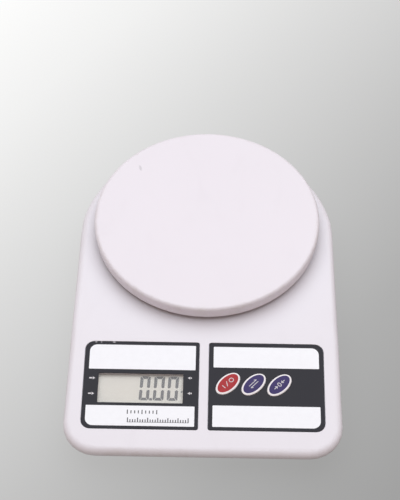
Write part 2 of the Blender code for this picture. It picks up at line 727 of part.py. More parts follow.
def make_load_cell(paints, axis, still):
    """The bending beam between its plates. Only what is bolted to its free end moves."""
    half = CELL_SIZE / 2
    middle = CELL_Z + half.z
    top = CELL_Z + CELL_SIZE.z
    body = box((-half.x, -half.y, CELL_Z), (half.x, half.y, top))
    cell = add_solid("load_cell", [body], paints["aluminium"], still)
    low, high = CELL_Z - THROUGH, top + THROUGH
    for end in (-1, 1):
        boolean(cell, "DIFFERENCE", cell_bores(end, low, high))
        eye = circle((end * EYE_OFFSET, middle), EYE_RADIUS, ROUND_STEPS)
        boolean(cell, "DIFFERENCE", [across(eye, half.x + THROUGH)])
    slot = rectangle((-EYE_OFFSET, middle - EYE_SLOT_HALF), (EYE_OFFSET, middle + EYE_SLOT_HALF))
    boolean(cell, "DIFFERENCE", [across(slot, half.x + THROUGH)])

    base_z = CELL_Z - GAP - PLATE_THICK
    plates = (("cell_base_plate", -1, base_z, still), ("cell_top_plate", 1, top + GAP, axis))
    for name, end, z, parent in plates:
        middle_y = end * (half.y - PLATE_LENGTH / 2)
        low = (-half.x, middle_y - PLATE_LENGTH / 2, z)
        high = (half.x, middle_y + PLATE_LENGTH / 2, z + PLATE_THICK)
        plate = add_solid(name, [box(low, high)], paints["tinned_steel"], parent)
        boolean(plate, "DIFFERENCE", cell_bores(end, z - THROUGH, z + PLATE_THICK + THROUGH))

    pad = rounded_rectangle(-SEAL_HALF, SEAL_HALF, (2.0,) * 4, 3)
    thin, thick = SEAL_THICK
    upper = prism(pad, top + SEAL_CLEAR, top + SEAL_CLEAR + thin)
    lower = prism(pad, CELL_Z - SEAL_CLEAR - thick, CELL_Z - SEAL_CLEAR)
    for name, shape in (("top", upper), ("bottom", lower)):
        add_solid(f"gauge_seal_{name}", [shape], paints["white_sealant"], still)

    for number, at in enumerate(cell_screws(-1), 1):
        add_screw(f"cell_screw_fixed_{number}", FIXED_SCREW, at, paints["zinc_screw"], still, True)
    for number, at in enumerate(cell_screws(1), 1):
        add_screw(f"cell_screw_free_{number}", FREE_SCREW, at, paints["zinc_screw"], axis, True)


def add_screw(name, profile, at, paint, parent=None, hex_socket=False):
    """A turned screw, head first in the profile, with a hexagon socket or a cross recess."""
    screw = add_solid(name, [turned(profile, steps=BOSS_STEPS)], paint, parent, (*at, 0))
    head = profile[0][1]
    into = math.copysign(1.0, profile[-1][1] - head)
    low, high = sorted((head - SCREW_SOCKET[0] * into, head + SCREW_SOCKET[1] * into))
    if hex_socket:
        shape = cylinder((0, 0), HEX_RADIUS, low, high, 6)
    else:
        w = CROSS_HALF
        r = profile[0][0] * CROSS_SHARE
        quarter = [Vector((r, -w)), Vector((r, w)), Vector((w, w))]
        cross = [Matrix.Rotation(k * math.pi / 2, 2) @ point for k in range(4) for point in quarter]
        shape = prism(cross, low, high)
    boolean(screw, "DIFFERENCE", [shape], (*at, 0))


# The front: panels, display, board and keys, all in the deck frame


def make_panels(paints, deck):
    overlay = prism(panel_outline(-1), -PANEL_THICK, 0)
    overlay = add_solid("display_overlay", [overlay], paints["printed_panel"], deck)
    window = rounded_rectangle(WINDOW_LO, WINDOW_HI, (0.5,) * 4, 3)
    boolean(overlay, "DIFFERENCE", [prism(window, -RECESS, THROUGH)])
    keypad = prism(panel_outline(1), -PANEL_THICK, 0)
    keypad = add_solid("keypad_overlay", [keypad], paints["printed_panel"], deck)
    holes = []
    for i in range(len(KEY_NAMES)):
        holes.append(prism(ellipse(KEY_A + GAP, KEY_B + GAP, key_place(i)), -RECESS, THROUGH))
    boolean(keypad, "DIFFERENCE", holes)
    margin = Vector((LENS_MARGIN, LENS_MARGIN))
    lens = rounded_rectangle(WINDOW_LO - margin, WINDOW_HI + margin, (0.5,) * 4, 3)
    lens = prism(lens, -RECESS - LENS_THICK, -RECESS)
    add_solid("display_window", [lens], paints["clear_lens"], deck)


def make_display(paints, deck):
    glass = rounded_rectangle(LCD_LO, LCD_HI, (0.4,) * 4, 2)
    glass_bottom = LCD_TOP - LCD_THICK
    add_solid("lcd_panel", [prism(glass, glass_bottom, LCD_TOP)], paints["display_glass"], deck)
    frame_bottom = BOARD_TOP + GAP
    wide = Vector((LCD_FRAME_WIDTH, LCD_FRAME_WIDTH))
    outer = rounded_rectangle(LCD_LO - wide, LCD_HI + wide, (1.0,) * 4, 3)
    outer = prism(outer, frame_bottom, LCD_TOP)
    frame = add_solid("lcd_frame", [outer], paints["white_plastic"], deck)
    snug = Vector((GAP, GAP))
    pocket = rounded_rectangle(LCD_LO - snug, LCD_HI + snug, (0.5,) * 4, 2)
    boolean(frame, "DIFFERENCE", [prism(pocket, glass_bottom - GAP, LCD_TOP + THROUGH)])
    low = (LCD_LO.x + LCD_LEDGE.x, LCD_LO.y + LCD_LEDGE.y, frame_bottom - THROUGH)
    high = (LCD_HI.x - LCD_LEDGE.x, LCD_HI.y - LCD_LEDGE.x, glass_bottom)
    boolean(frame, "DIFFERENCE", [box(low, high)])
    low = (LCD_LO.x + STRIP_LO.x, LCD_LO.y + STRIP_LO.y, frame_bottom)
    high = (LCD_HI.x - STRIP_LO.x, low[1] + STRIP_WIDTH, glass_bottom - GAP)
    add_solid("elastomer_connector", [box(low, high)], paints["black_rubber"], deck)


def make_board(paints, deck):
    bottom = BOARD_TOP - BOARD_THICK
    outline = rounded_rectangle(BOARD_LO, BOARD_HI, (1.5,) * 4, 3)
    board = add_solid("main_board", [prism(outline, bottom, BOARD_TOP)], paints["circuit_board"], deck)
    span = (bottom - THROUGH, BOARD_TOP + THROUGH)
    boolean(board, "DIFFERENCE", [cylinder(at, BOARD_SCREW_BORE, *span, BOSS_STEPS) for at in BOARD_SCREWS])
    under = bottom - GAP
    blob = [(radius, under + z) for radius, z in BLOB]
    add_solid("chip_encapsulation", [turned(blob, BLOB_CENTRE)], paints["black_epoxy"], deck)
    screw = [(radius, under + z) for radius, z in BOARD_SCREW]
    for number, at in enumerate(BOARD_SCREWS, 1):
        add_screw(f"board_screw_{number}", screw, at, paints["zinc_screw"], deck)


def make_keys(paints, deck):
    """Each key slides along its own empty: cap, flange under the casing, plunger, switch stem."""
    for i, name in enumerate(KEY_NAMES):
        axis = place(f"key_axis_{name}", (*key_place(i), 0), parent=deck)
        flange = ellipse(KEY_A + FLANGE_WIDTH, KEY_B + FLANGE_WIDTH)
        rings = [[(x, y, z) for x, y in flange] for z in (FLANGE_TOP - FLANGE_THICK, FLANGE_TOP)]
        for share, z in ((1.0, FLANGE_TOP), *KEY_CROWN):
            rings.append([(x, y, z) for x, y in ellipse(KEY_A * share, KEY_B * share)])
        paint = paints["red_key"] if name == "power" else paints["violet_key"]
        key = add_solid(f"key_{name}", [loft(rings)], paint, axis)
        top = FLANGE_TOP - FLANGE_THICK / 2
        boolean(key, "UNION", [cylinder((0, 0), PLUNGER_RADIUS, PLUNGER_BOTTOM, top, BOSS_STEPS)])
        stem = cylinder((0, 0), STEM_RADIUS, *STEM_SPAN, HOLE_STEPS)
        add_solid(f"switch_stem_{name}", [stem], paints["black_plastic"], axis)
        outline = rounded_rectangle((-SWITCH_HALF,) * 2, (SWITCH_HALF,) * 2, (0.4,) * 4, 2)
        body = prism(outline, BOARD_TOP + GAP, SWITCH_TOP)
        housing = add_solid(f"switch_housing_{name}", [body], paints["tinned_steel"], axis)
        bore = cylinder((0, 0), SWITCH_BORE, SWITCH_BORE_FLOOR, SWITCH_TOP + THROUGH, HOLE_STEPS)
        boolean(housing, "DIFFERENCE", [bore])


# Batteries, wires, fasteners


def contact(side, y_low, y_high):
    """A flat contact plate against the bay's end wall."""
    x_low, x_high = sorted((side * (BAY_HALF_X - GAP), side * (BAY_HALF_X - GAP - CONTACT_THICK)))
    return box((x_low, y_low, CONTACT_Z[0]), (x_high, y_high, CONTACT_Z[1]))


def dimple(side, y):
    """The raised spot on a contact plate that a cell's nose touches."""
    points = [(radius, side * (BAY_HALF_X - GAP - depth)) for radius, depth in DIMPLE]
    return turned_along_x(points, (y, BATTERY_Z), HOLE_STEPS)


def make_batteries(paints):
    """Two cells side by side, nose to tail, between a bridge on the right and two terminals."""
    for number, (side, y) in enumerate(zip((-1, 1), BATTERY_Y), 1):
        profile = [(radius, -side * x) for radius, x in BATTERY + BATTERY_NOSE]
        cell = turned_along_x(profile, (y, BATTERY_Z))
        add_solid(f"battery_{number}", [cell], paints["battery_wrap"])
        coil = []
        for i in range(SPRING_STEPS + 1):
            share = i / SPRING_STEPS
            angle = 2 * math.pi * SPRING_TURNS * share
            radius = SPRING_RADII[0] + (SPRING_RADII[1] - SPRING_RADII[0]) * share
            along = -side * (SPRING_SPAN[0] + (SPRING_SPAN[1] - SPRING_SPAN[0]) * share)
            coil.append((along, y + radius * math.cos(angle), BATTERY_Z + radius * math.sin(angle)))
        add_wire(f"battery_spring_{number}", coil, SPRING_WIRE, paints["nickel_spring"], 1)

    half = CONTACT_HALF_Y
    positive, negative = BATTERY_Y
    plates = {
        "terminal_positive": (contact(-1, positive - half, positive + half), dimple(-1, positive)),
        "terminal_negative": (contact(-1, negative - half, negative + half), None),
        "terminal_bridge": (contact(1, negative - half, positive + half), dimple(1, negative)),
    }
    for name, (shape, spot) in plates.items():
        plate = add_solid(name, [shape], paints["nickel_spring"])
        if spot:
            boolean(plate, "UNION", [spot])


def smooth_route(points, spacing):
    """Points at an even spacing on a Catmull-Rom curve through a route's own points."""
    knots = [Vector(point) for point in points]
    knots = [2 * knots[0] - knots[1], *knots, 2 * knots[-1] - knots[-2]]
    fine = []
    for a, b, c, d in zip(knots, knots[1:], knots[2:], knots[3:]):
        for i in range(20):
            t = i / 20
            bend = (2 * a - 5 * b + 4 * c - d) * t * t + (3 * b - a - 3 * c + d) * t**3
            fine.append(0.5 * (2 * b + (c - a) * t + bend))
    end = knots[-2]
    found = [fine[0]]
    for point in fine:
        if (point - found[-1]).length >= spacing:
            found.append(point)
    if (end - found[-1]).length <= spacing / 3:
        found.pop()
    return [*found, end]


def make_wires(paints):
    """The wires inside the casing, each along its whole route."""
    outside = -BAY_HALF_X - BAY_WALL
    radius, spacing = LEAD
    for y, (colour, x) in zip(BATTERY_Y, LEAD_X.items()):
        route = [(-BAY_HALF_X - 0.4, y, BATTERY_Z), (outside - 1.5, y, BATTERY_Z), (x - 0.5, y - 8.0, 10.0)]
        route += [(x, *end) for end in LEAD_ENDS]
        paint = paints[f"{colour}_wire"]
        add_wire(f"battery_lead_{colour}", smooth_route(route, spacing), radius, paint)
    radius, spacing = CABLE
    add_wire("load_cell_cable", smooth_route(CABLE_ROUTE, spacing), radius, paints["grey_wire"])


def feet_places():
    """(name, place) of each foot."""
    sides = (("left", -1), ("right", 1))
    return [(f"foot_{end}_{word}", (side * x, y)) for end, (x, y) in FOOT_XY.items() for word, side in sides]


def make_fasteners_and_feet(paints):
    for number, at in enumerate(casing_screws(), 1):
        add_screw(f"casing_screw_{number}", CASING_SCREW, at, paints["zinc_screw"])
    profile = [(FOOT_RADIUS - FOOT_EDGE, 0.0), (FOOT_RADIUS, FOOT_EDGE), (FOOT_RADIUS, FOOT_HEIGHT)]
    for name, at in feet_places():
        add_solid(name, [turned(profile)], paints["black_rubber"], at=(*at, 0))


def main():
    for obj in list(bpy.data.objects):
        bpy.data.objects.remove(obj)
    paints = {name: material(name, *finish) for name, finish in FINISHES.items()}
    white = paints["white_plastic"]
    deck = place("deck_frame", (0, CREASE_Y, DECK_Z), (TILT, 0, 0))
    axis = place("platter_axis", (0, PLATTER_Y, 0))
    cell_frame = place("cell_frame", (0, PLATTER_Y, 0))
    hinge = place("door_hinge", (0, HINGE_Y, HINGE_Z))
    make_upper_casing(white, deck, axis)
    make_lower_casing(white, axis)
    make_door(white, hinge)
    make_platter(white, axis)
    make_support(white, axis)
    make_load_cell(paints, axis, cell_frame)
    make_panels(paints, deck)
    make_display(paints, deck)
    make_board(paints, deck)
    make_keys(paints, deck)
    make_batteries(paints)
    make_wires(paints)
    make_fasteners_and_feet(paints)


main()
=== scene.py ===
"""The looks of the digital gram scale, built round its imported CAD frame."""

import math

import bmesh
import bpy
from mathutils import Matrix, Vector


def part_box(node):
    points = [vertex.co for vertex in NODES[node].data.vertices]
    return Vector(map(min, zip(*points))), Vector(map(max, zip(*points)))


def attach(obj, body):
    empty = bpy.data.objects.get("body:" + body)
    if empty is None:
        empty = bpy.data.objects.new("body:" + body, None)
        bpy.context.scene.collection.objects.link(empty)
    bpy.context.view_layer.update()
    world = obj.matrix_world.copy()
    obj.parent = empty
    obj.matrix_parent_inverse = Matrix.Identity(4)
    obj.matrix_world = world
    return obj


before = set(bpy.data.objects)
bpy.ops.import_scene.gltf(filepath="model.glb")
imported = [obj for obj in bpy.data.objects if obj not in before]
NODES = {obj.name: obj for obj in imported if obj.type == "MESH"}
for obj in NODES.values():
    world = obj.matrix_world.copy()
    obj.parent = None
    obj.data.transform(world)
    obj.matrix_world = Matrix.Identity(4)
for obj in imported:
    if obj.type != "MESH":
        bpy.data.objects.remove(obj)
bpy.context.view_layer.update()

MM = 0.001
WELD_DISTANCE = 2e-6
CRISP_ANGLE = math.radians(32)
FACE_WEIGHT = 70

# The sloping front of the casing: x across, v up the slope from its crease, w out of it, in millimetres.
TILT = math.atan(0.05)
DECK_TURN = Matrix.Rotation(TILT, 3, "X")
PANEL_REAR_V = -8.7
PANEL_THICK = 0.6
PANEL_REAR_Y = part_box("display_overlay")[1].y
CREASE = Vector((
    0,
    PANEL_REAR_Y - (PANEL_REAR_V * math.cos(TILT) + PANEL_THICK * math.sin(TILT)) * MM,
    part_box("upper_casing")[1].z,
))

KEY_AXES = (8.9, 5.3)
KEY_RIM = 1.1
KEY_TURN = math.radians(46.6)
KEY_CENTRES = {"power": (14.4, -36.6), "mode": (29.7, -36.85), "tare": (45.0, -37.1)}
# Height of a key's surface over the deck, from its middle (0) to its border (1).
KEY_CROWN = ((0.0, 0.88), (0.25, 0.88), (0.6, 0.82), (0.87, 0.68), (0.955, 0.5), (1.0, 0.2))
LCD_TOP = -2.6
# Chips in the display panel's rear edge: place across and half width.
CHIPS = ((-54.5, 1.1), (-65.4, 0.8), (-62.2, 0.5))
CHIP_INSET = 0.3
CHIP_DEPTH = 0.75
PLATTER_LOW, PLATTER_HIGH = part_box("weighing_platter")
PLATTER_CENTRE = (PLATTER_LOW + PLATTER_HIGH) / 2
SCUFF = Vector((-0.0437, 0.0834, PLATTER_HIGH.z))
SCUFF_SIZE = (0.0011, 0.0030, 1)
SCUFF_TURN = Matrix.Rotation(math.radians(18), 3, "Z")


def deck(x, v, w):
    """A point on the sloping deck, in metres in the frame."""
    return CREASE + DECK_TURN @ Vector((x, v, w)) * MM


# Materials

# Dirt, wear, painted shade and a darker tone low down, as base colours.
WORN = (0.60, 0.57, 0.55)
PAINTED_LIP_SHADE = (0.42, 0.40, 0.40)
GRIT = (0.38, 0.35, 0.32)
LOW_DOWN_TONE = (0.52, 0.49, 0.46)

# Where marks start and end, in metres along one axis, or from a centre.
LOW_DOWN_HEIGHTS = (0.003, 0.013)
# Painted shade on the underside of the front lip.
PAINTED_LIP_SHADE_HEIGHTS = (0.0158, 0.0205)
FRONT_LIP_DEPTHS = (-0.1135, -0.1165)
PLATTER_WEAR_RADII = (0.0675, 0.0708)
SLEEVE_BAND_ENDS = (0.0205, 0.0208)
GLASS_SHADOW_DEPTHS = (-0.0322, -0.0292)
FOOT_WEAR_HEIGHTS = (0.0, 0.0012)

# A size along Z so large that height makes no difference to a distance.
ANY_HEIGHT = 1000


class Paint:
    """A node material with small helpers, so that each finish reads as a short recipe."""

    def __init__(self, name, roughness=0.5, metallic=0.0, specular=0.5):
        self.material = bpy.data.materials.new(name)
        self.material.use_nodes = True
        self.tree = self.material.node_tree
        self.shader = self.tree.nodes["Principled BSDF"]
        self.shader.inputs["Metallic"].default_value = metallic
        self.shader.inputs["Roughness"].default_value = roughness
        self.shader.inputs["Specular IOR Level"].default_value = specular
        self.coords = self.add("ShaderNodeTexCoord").outputs["Object"]

    def add(self, kind, **values):
        node = self.tree.nodes.new(kind)
        for key, value in values.items():
            setattr(node, key, value)
        return node

    def link(self, source, target):
        self.tree.links.new(source, target)

    def place(self, centre, turn=None, size=(1, 1, 1)):
        """Object coordinates seen from a centre, turned and in units of size."""
        node = self.add("ShaderNodeMapping", vector_type="TEXTURE")
        node.inputs["Location"].default_value = centre
        if turn:
            node.inputs["Rotation"].default_value = turn.to_euler()
        node.inputs["Scale"].default_value = size
        self.link(self.coords, node.inputs["Vector"])
        return node.outputs["Vector"]

    def length(self, vector):
        node = self.add("ShaderNodeVectorMath", operation="LENGTH")
        self.link(vector, node.inputs[0])
        return node.outputs["Value"]

    def axis(self, name, vector=None):
        node = self.add("ShaderNodeSeparateXYZ")
        self.link(vector or self.coords, node.inputs["Vector"])
        return node.outputs[name]

    def noise(self, scale, detail=3.0, rough=0.5, stretch=None, warp=0.0):
        """Noise at a number of cycles per metre."""
        node = self.add("ShaderNodeTexNoise")
        node.inputs["Scale"].default_value = scale
        node.inputs["Detail"].default_value = detail
        node.inputs["Roughness"].default_value = rough
        node.inputs["Distortion"].default_value = warp
        source = self.coords
        if stretch:
            mapping = self.add("ShaderNodeMapping")
            mapping.inputs["Scale"].default_value = stretch
            self.link(self.coords, mapping.inputs["Vector"])
            source = mapping.outputs["Vector"]
        self.link(source, node.inputs["Vector"])
        return node.outputs["Fac"]

    def cells(self, scale):
        """Distance to the nearest of many scattered points, at a number of points per metre."""
        node = self.add("ShaderNodeTexVoronoi")
        node.inputs["Scale"].default_value = scale
        self.link(self.coords, node.inputs["Vector"])
        return node.outputs["Distance"]

    def ramp(self, source, low, high, start=0.0, end=1.0):
        """Maps source from low..high to start..end, clamped."""
        node = self.add("ShaderNodeMapRange")
        node.inputs["From Min"].default_value = low
        node.inputs["From Max"].default_value = high
        node.inputs["To Min"].default_value = start
        node.inputs["To Max"].default_value = end
        self.link(source, node.inputs["Value"])
        return node.outputs["Result"]

    def math(self, operation, a, b):
        node = self.add("ShaderNodeMath", operation=operation)
        for socket, value in zip(node.inputs, (a, b)):
            if isinstance(value, (int, float)):
                socket.default_value = value
            else:
                self.link(value, socket)
        return node.outputs["Value"]

    def times(self, *values):
        result = values[0]
        for value in values[1:]:
            result = self.math("MULTIPLY", result, value)
        return result

    def mix(self, factor, a, b):
        node = self.add("ShaderNodeMix", data_type="RGBA")
        self.link(factor, node.inputs["Factor"])
        for socket, value in ((node.inputs[6], a), (node.inputs[7], b)):
            if isinstance(value, tuple):
                socket.default_value = (*value, 1.0)
            else:
                self.link(value, socket)
        return node.outputs[2]

    def colour(self, source):
        self.link(source, self.shader.inputs["Base Color"])

    def rough(self, source):
        self.link(source, self.shader.inputs["Roughness"])

    def rough_from(self, source, smoothest, dullest):
        """Roughness that goes from smoothest to dullest as source goes from 0 to 1."""
        self.rough(self.ramp(source, 0.0, 1.0, smoothest, dullest))

    def bump(self, *layers):
        """Stacks (height, distance in metres) layers."""
        normal = None
        for height, distance in layers:
            node = self.add("ShaderNodeBump")
            node.inputs["Strength"].default_value = 1.0
            node.inputs["Distance"].default_value = distance
            self.link(height, node.inputs["Height"])
            if normal:
                self.link(normal, node.inputs["Normal"])
            normal = node.outputs["Normal"]
        self.link(normal, self.shader.inputs["Normal"])


def shade(colour, factor):
    return tuple(channel * factor for channel in colour)


def washed(colour, keep, white):
    """A colour thinned to a share of itself, with some white added."""
    return tuple(keep * channel + white for channel in colour)


def moulded(name, colour, roughness, grain=4200.0, depth=0.000006, marks=None):
    """Moulded plastic: fine grain, faint flow clouds, smears, specks and a little darker low down."""
    paint = Paint(name)
    clouds = paint.ramp(paint.noise(9.0, 4.0, 0.6), 0.35, 0.7)
    tone = paint.mix(clouds, colour, shade(colour, 0.985))
    smears = paint.ramp(paint.noise(38.0, 6.0, 0.7, (1.0, 0.45, 1.0), 1.2), 0.52, 0.75)
    tone = paint.mix(paint.times(smears, 0.35), tone, shade(colour, 0.955))
    specks = paint.ramp(paint.cells(260.0), 0.028, 0.045, 0.55, 0.0)
    keep = paint.ramp(paint.noise(70.0, 2.0), 0.62, 0.66)
    tone = paint.mix(paint.times(specks, keep), tone, GRIT)
    # Darker towards the bottom of the part, following the clouds' pattern.
    low = paint.ramp(paint.axis("Z"), *LOW_DOWN_HEIGHTS, 0.30, 0.0)
    tone = paint.mix(paint.times(low, clouds), tone, LOW_DOWN_TONE)
    if marks:
        tone = marks(paint, tone)
    paint.colour(tone)
    gloss = paint.ramp(smears, 0.0, 1.0, roughness, roughness + 0.12)
    fine = paint.noise(grain, 2.0, 0.6)
    paint.rough(paint.math("ADD", gloss, paint.ramp(fine, 0.3, 0.7, -0.04, 0.04)))
    paint.bump((paint.noise(95.0, 2.0), 0.00003), (fine, depth))
    return paint


def platter_marks(paint, tone):
    """A handled outer edge and one small grey scuff."""
    local = paint.place(PLATTER_CENTRE, None, (1, 1, ANY_HEIGHT))
    rim = paint.ramp(paint.length(local), *PLATTER_WEAR_RADII)
    worn = paint.ramp(paint.noise(120.0, 5.0, 0.7), 0.45, 0.65, 0.0, 0.35)
    tone = paint.mix(paint.times(rim, worn), tone, WORN)
    near = paint.length(paint.place(SCUFF, SCUFF_TURN, SCUFF_SIZE))
    scuff = paint.ramp(near, 0.45, 1.0, 0.65, 0.0)
    broken = paint.ramp(paint.noise(900.0, 4.0, 0.8), 0.35, 0.62, 0.35, 1.0)
    return paint.mix(paint.times(scuff, broken), tone, (0.42, 0.41, 0.43))


def casing_marks(paint, tone):
    """Handling marks along the front lip, and painted shade, uneven in patches, darkening the lip's
    underside down to the parting line.
    """
    front = paint.ramp(paint.axis("Y"), *FRONT_LIP_DEPTHS)
    patches = paint.noise(150.0, 5.0, 0.7)
    worn = paint.ramp(patches, 0.5, 0.7, 0.0, 0.3)
    tone = paint.mix(paint.times(front, worn), tone, WORN)
    # Painted shade: darker low on the front lip's underside, towards the parting line, in uneven patches.
    seam = paint.ramp(paint.axis("Z"), *PAINTED_LIP_SHADE_HEIGHTS, 0.5, 0.0)
    uneven = paint.ramp(patches, 0.3, 0.6, 0.75, 1.0)
    return paint.mix(paint.times(seam, uneven), tone, PAINTED_LIP_SHADE)


def film(name, colour):
    """Printed film: fine velvet grain, faint wipe marks, whitened chips along its rear edge."""
    paint = Paint(name, specular=0.2)
    wipes = paint.ramp(paint.noise(24.0, 5.0, 0.65, (0.4, 1.0, 1.0), 0.8), 0.4, 0.7)
    tone = paint.mix(wipes, colour, shade(colour, 1.18))
    local = paint.place(deck(0, 0, 0), DECK_TURN)
    border = ((PANEL_REAR_V - 0.7) * MM, (PANEL_REAR_V - 0.35) * MM)
    rear = paint.ramp(paint.axis("Y", local), *border)
    chips = paint.ramp(paint.noise(420.0, 2.0, 0.6), 0.68, 0.72, 0.0, 0.6)
    tone = paint.mix(paint.times(rear, chips), tone, (0.62, 0.60, 0.62))
    for x, half_width in CHIPS:
        centre = deck(x, PANEL_REAR_V - CHIP_INSET, 0)
        near = paint.length(paint.place(centre, DECK_TURN, (half_width * MM, CHIP_DEPTH * MM, 1)))
        tone = paint.mix(paint.ramp(near, 0.5, 1.0, 0.55, 0.0), tone, (0.70, 0.68, 0.70))
    paint.colour(tone)
    paint.rough_from(wipes, 0.44, 0.54)
    paint.bump((paint.noise(5200.0, 2.0, 0.7), 0.000005))
    return paint


def ink(name, colour, roughness=0.5):
    """Screen-printed ink: a little mottled, with a fine grain."""
    paint = Paint(name)
    mottle = paint.ramp(paint.noise(300.0, 5.0, 0.7), 0.35, 0.7)
    paint.colour(paint.mix(mottle, colour, shade(colour, 0.97)))
    paint.rough_from(mottle, roughness, roughness + 0.08)
    paint.bump((paint.noise(6000.0, 2.0, 0.6), 0.000004))
    return paint


def key_film(name, colour, which):
    """A domed key: coloured field inside a white rim, worn a little paler where fingers press."""
    paint = Paint(name, specular=0.25)
    turn = DECK_TURN @ Matrix.Rotation(KEY_TURN, 3, "Z")
    x, v = KEY_CENTRES[which]
    field = [(axis - KEY_RIM) * MM for axis in KEY_AXES]
    inside = paint.length(paint.place(deck(x, v, 0), turn, (*field, ANY_HEIGHT)))
    mottle = paint.ramp(paint.noise(500.0, 4.0, 0.7), 0.35, 0.7)
    tone = paint.mix(mottle, colour, shade(colour, 0.86))
    middle = paint.ramp(inside, 0.15, 0.8, 0.12, 0.0)
    patchy = paint.ramp(paint.noise(260.0, 4.0), 0.4, 0.6, 0.2, 1.0)
    tone = paint.mix(paint.times(middle, patchy), tone, washed(colour, 0.7, 0.12))
    paint.colour(paint.mix(paint.ramp(inside, 0.985, 1.015), tone, (0.86, 0.83, 0.85)))
    paint.rough_from(mottle, 0.36, 0.46)
    paint.bump((paint.noise(5200.0, 2.0, 0.6), 0.000004))
    return paint


def metal(name, colour, roughness, stretch, scale=900.0):
    """Drawn, turned or ground metal: streaks in one direction, dull spots and slight tarnish."""
    paint = Paint(name, metallic=1.0)
    streaks = paint.noise(scale, 4.0, 0.6, stretch)
    tarnish = paint.ramp(paint.noise(180.0, 4.0, 0.6), 0.45, 0.75, 0.0, 0.6)
    paint.colour(paint.mix(tarnish, colour, shade(colour, 0.72)))
    gloss = paint.ramp(streaks, 0.3, 0.7, roughness - 0.07, roughness + 0.1)
    paint.rough(paint.math("ADD", gloss, paint.times(tarnish, 0.15)))
    paint.bump((streaks, 0.000012))
    return paint


def rubber():
    """Black rubber: dusty, and worn paler where it touches the table."""
    paint = Paint("foot_rubber")
    dust = paint.ramp(paint.noise(260.0, 5.0, 0.75), 0.45, 0.75, 0.0, 0.45)
    worn = paint.ramp(paint.axis("Z"), *FOOT_WEAR_HEIGHTS, 0.5, 0.0)
    tone = paint.mix(dust, (0.022, 0.022, 0.023), (0.075, 0.072, 0.068))
    paint.colour(paint.mix(paint.times(worn, dust), tone, (0.16, 0.15, 0.14)))
    paint.rough(paint.ramp(dust, 0.0, 0.45, 0.68, 0.9))
    paint.bump((paint.noise(2600.0, 3.0, 0.7), 0.00002))
    return paint


def board():
    """Green solder mask over copper tracks, with bare tinned dots."""
    paint = Paint("solder_mask")
    tracks = paint.add("ShaderNodeTexBrick", offset=0.37, squash=1.6)
    tracks.inputs["Scale"].default_value = 95.0
    tracks.inputs["Mortar Size"].default_value = 0.055
    tracks.inputs["Brick Width"].default_value = 1.6
    tracks.inputs["Row Height"].default_value = 0.22
    paint.link(paint.coords, tracks.inputs["Vector"])
    lines = tracks.outputs["Fac"]
    tone = paint.mix(lines, (0.012, 0.115, 0.045), (0.03, 0.2, 0.075))
    dots = paint.ramp(paint.cells(330.0), 0.11, 0.14, 1.0, 0.0)
    some = paint.ramp(paint.noise(110.0, 1.0), 0.56, 0.58)
    pads = paint.times(dots, some)
    paint.colour(paint.mix(pads, tone, (0.62, 0.61, 0.57)))
    paint.rough_from(pads, 0.32, 0.42)
    paint.bump((lines, 0.00003), (pads, 0.00006))
    return paint


def display_glass():
    """Reflective liquid-crystal glass: a warm grey polariser with a silvery, slightly uneven backing, and a
    painted shadow band along its rear edge.
    """
    paint = Paint("lcd_polariser", specular=0.3)
    backing = paint.ramp(paint.noise(2600.0, 3.0, 0.7), 0.3, 0.7)
    drift = paint.ramp(paint.noise(35.0, 2.0), 0.3, 0.7)
    tone = paint.mix(drift, (0.655, 0.632, 0.578), (0.64, 0.622, 0.582))
    tone = paint.mix(paint.times(backing, 0.35), tone, (0.61, 0.59, 0.55))
    local = paint.place(deck(0, 0, LCD_TOP), DECK_TURN)
    # Painted shadow: a dark band along the glass's rear edge, where the window's rim would shade it.
    edge = paint.ramp(paint.axis("Y", local), *GLASS_SHADOW_DEPTHS, 0.0, 0.62)
    paint.colour(paint.mix(edge, tone, (0.20, 0.19, 0.195)))
    paint.rough_from(backing, 0.46, 0.56)
    paint.bump((paint.noise(3800.0, 2.0), 0.000002))
    return paint


def clear_lens():
    """Clear acrylic: hardly there, but for a soft haze of wiping marks."""
    paint = Paint("clear_acrylic")
    haze = paint.noise(90.0, 6.0, 0.75, (0.5, 1.0, 1.0), 1.5)
    paint.colour(paint.mix(haze, (0.93, 0.95, 0.94), (0.88, 0.90, 0.90)))
    paint.link(paint.ramp(haze, 0.35, 0.7, 0.05, 0.075), paint.shader.inputs["Alpha"])
    paint.rough(paint.ramp(haze, 0.35, 0.7, 0.06, 0.14))
    paint.bump((haze, 0.000002))
    return paint


def battery_wrap():
    """A plain sleeve: slate, with pale bands at its ends and a shrink seam's slight waves."""
    paint = Paint("battery_sleeve")
    from_middle = paint.math("ABSOLUTE", paint.axis("X"), 0.0)
    pale = paint.ramp(from_middle, *SLEEVE_BAND_ENDS)
    scratches = paint.ramp(paint.noise(700.0, 4.0, 0.7, (0.15, 1.0, 1.0)), 0.6, 0.7, 0.0, 0.5)
    tone = paint.mix(pale, (0.055, 0.07, 0.085), (0.55, 0.56, 0.55))
    paint.colour(paint.mix(scratches, tone, (0.35, 0.36, 0.37)))
    paint.rough(paint.ramp(scratches, 0.0, 0.5, 0.28, 0.5))
    paint.bump((paint.noise(240.0, 2.0, 0.5, (0.3, 1.0, 1.0)), 0.00004))
    return paint


def insulation(name, colour, roughness=0.48):
    """Extruded insulation: fine length-wise drawing marks and a powdery bloom."""
    paint = Paint(name)
    bloom = paint.ramp(paint.noise(420.0, 4.0, 0.7), 0.4, 0.7)
    paint.colour(paint.mix(paint.times(bloom, 0.5), colour, washed(colour, 0.75, 0.06)))
    paint.rough_from(bloom, roughness, roughness + 0.15)
    paint.bump((paint.noise(3000.0, 2.0, 0.6), 0.000008))
    return paint


